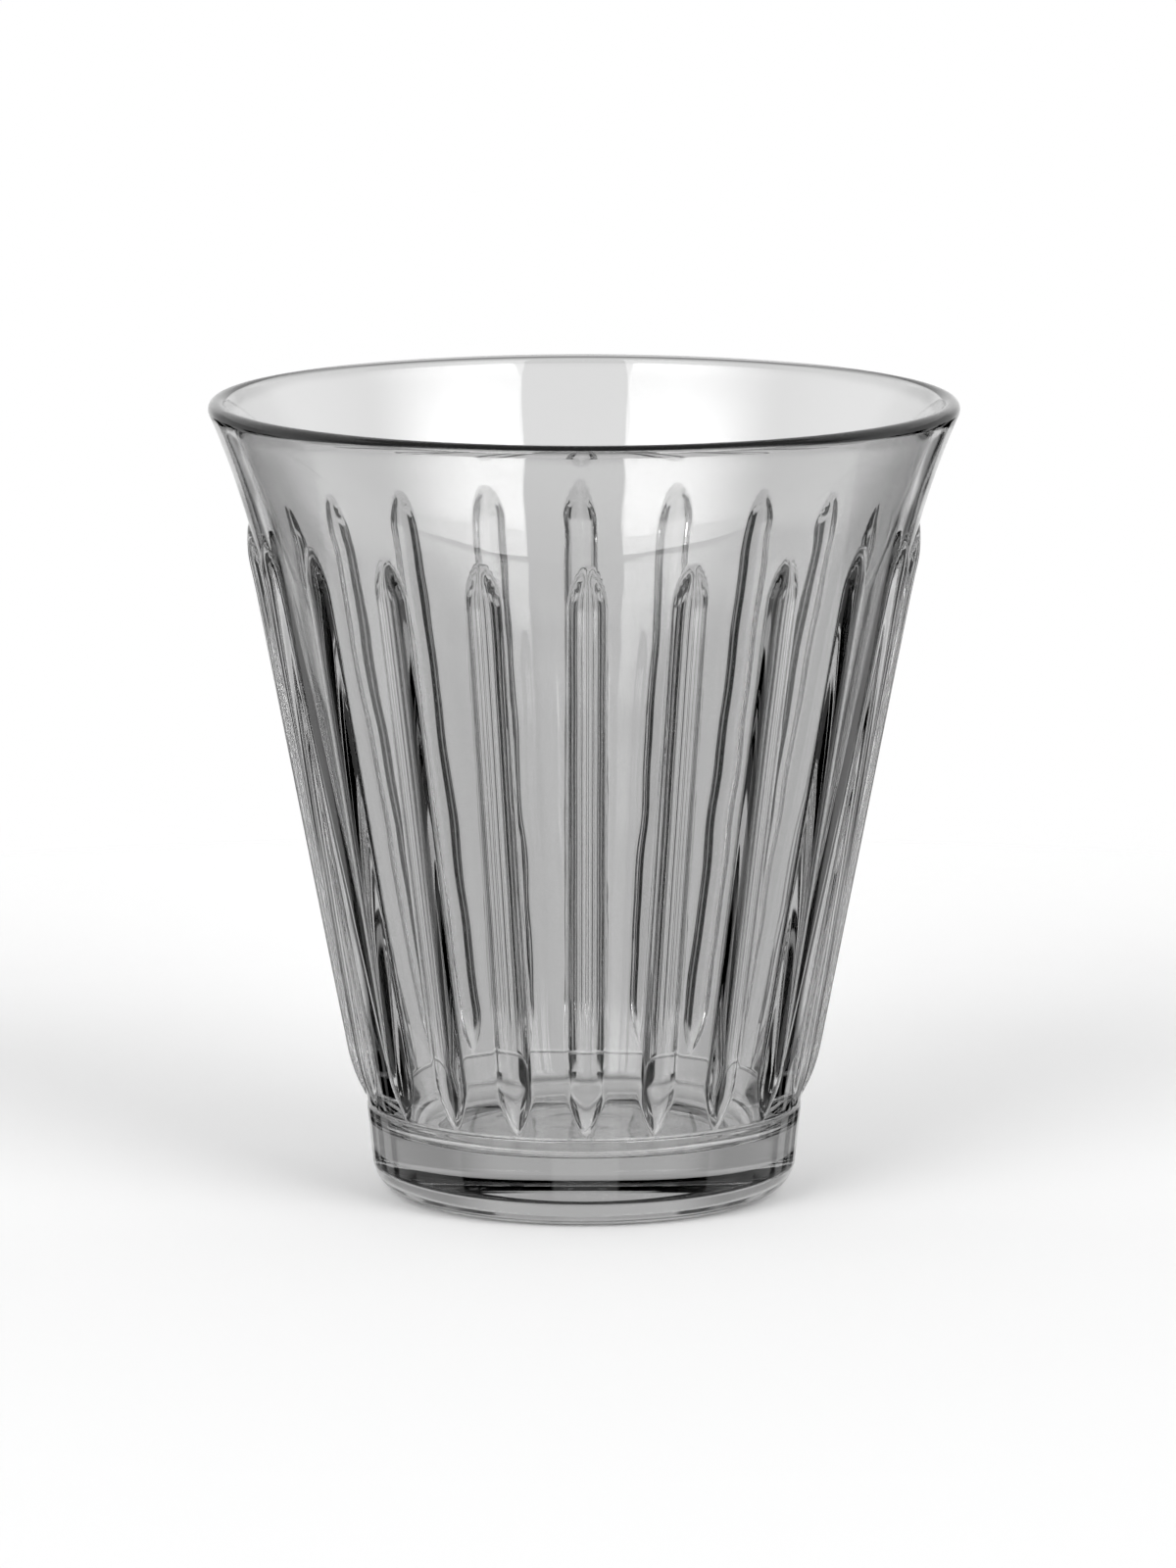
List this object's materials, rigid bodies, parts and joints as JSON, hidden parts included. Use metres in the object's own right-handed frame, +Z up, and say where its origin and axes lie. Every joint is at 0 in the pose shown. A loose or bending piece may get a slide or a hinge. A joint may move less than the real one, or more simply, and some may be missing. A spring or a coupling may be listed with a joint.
{
  "type": "juice glass",
  "caption": "Pressed-glass tumbler for juice or water, with a flared lip, upright ribs round the wall, a plain foot and a thick base.",
  "frame": {"origin": "centre of the resting face, on the table under the middle of the glass", "axes": "+Z up along the axis of the glass, -Y towards the middle of the rib named rib_01, +X to its right as it is looked at"},
  "size_m": [0.0878, 0.0878, 0.094],
  "materials": {
    "pressed_glass": "clear, fire-polished"
  },
  "bodies": {
    "root": {"rim_bead": "pressed_glass", "flared_lip": "pressed_glass", "bowl_wall": "pressed_glass", "rib_01": "pressed_glass", "rib_02": "pressed_glass", "rib_03": "pressed_glass", "rib_04": "pressed_glass", "rib_05": "pressed_glass", "rib_06": "pressed_glass", "rib_07": "pressed_glass", "rib_08": "pressed_glass", "rib_09": "pressed_glass", "rib_10": "pressed_glass", "rib_11": "pressed_glass", "rib_12": "pressed_glass", "rib_13": "pressed_glass", "rib_14": "pressed_glass", "rib_15": "pressed_glass", "rib_16": "pressed_glass", "rib_17": "pressed_glass", "rib_18": "pressed_glass", "rib_19": "pressed_glass", "rib_20": "pressed_glass", "foot_band": "pressed_glass", "base_disc": "pressed_glass", "resting_ring": "pressed_glass"}
  },
  "joints": []
}
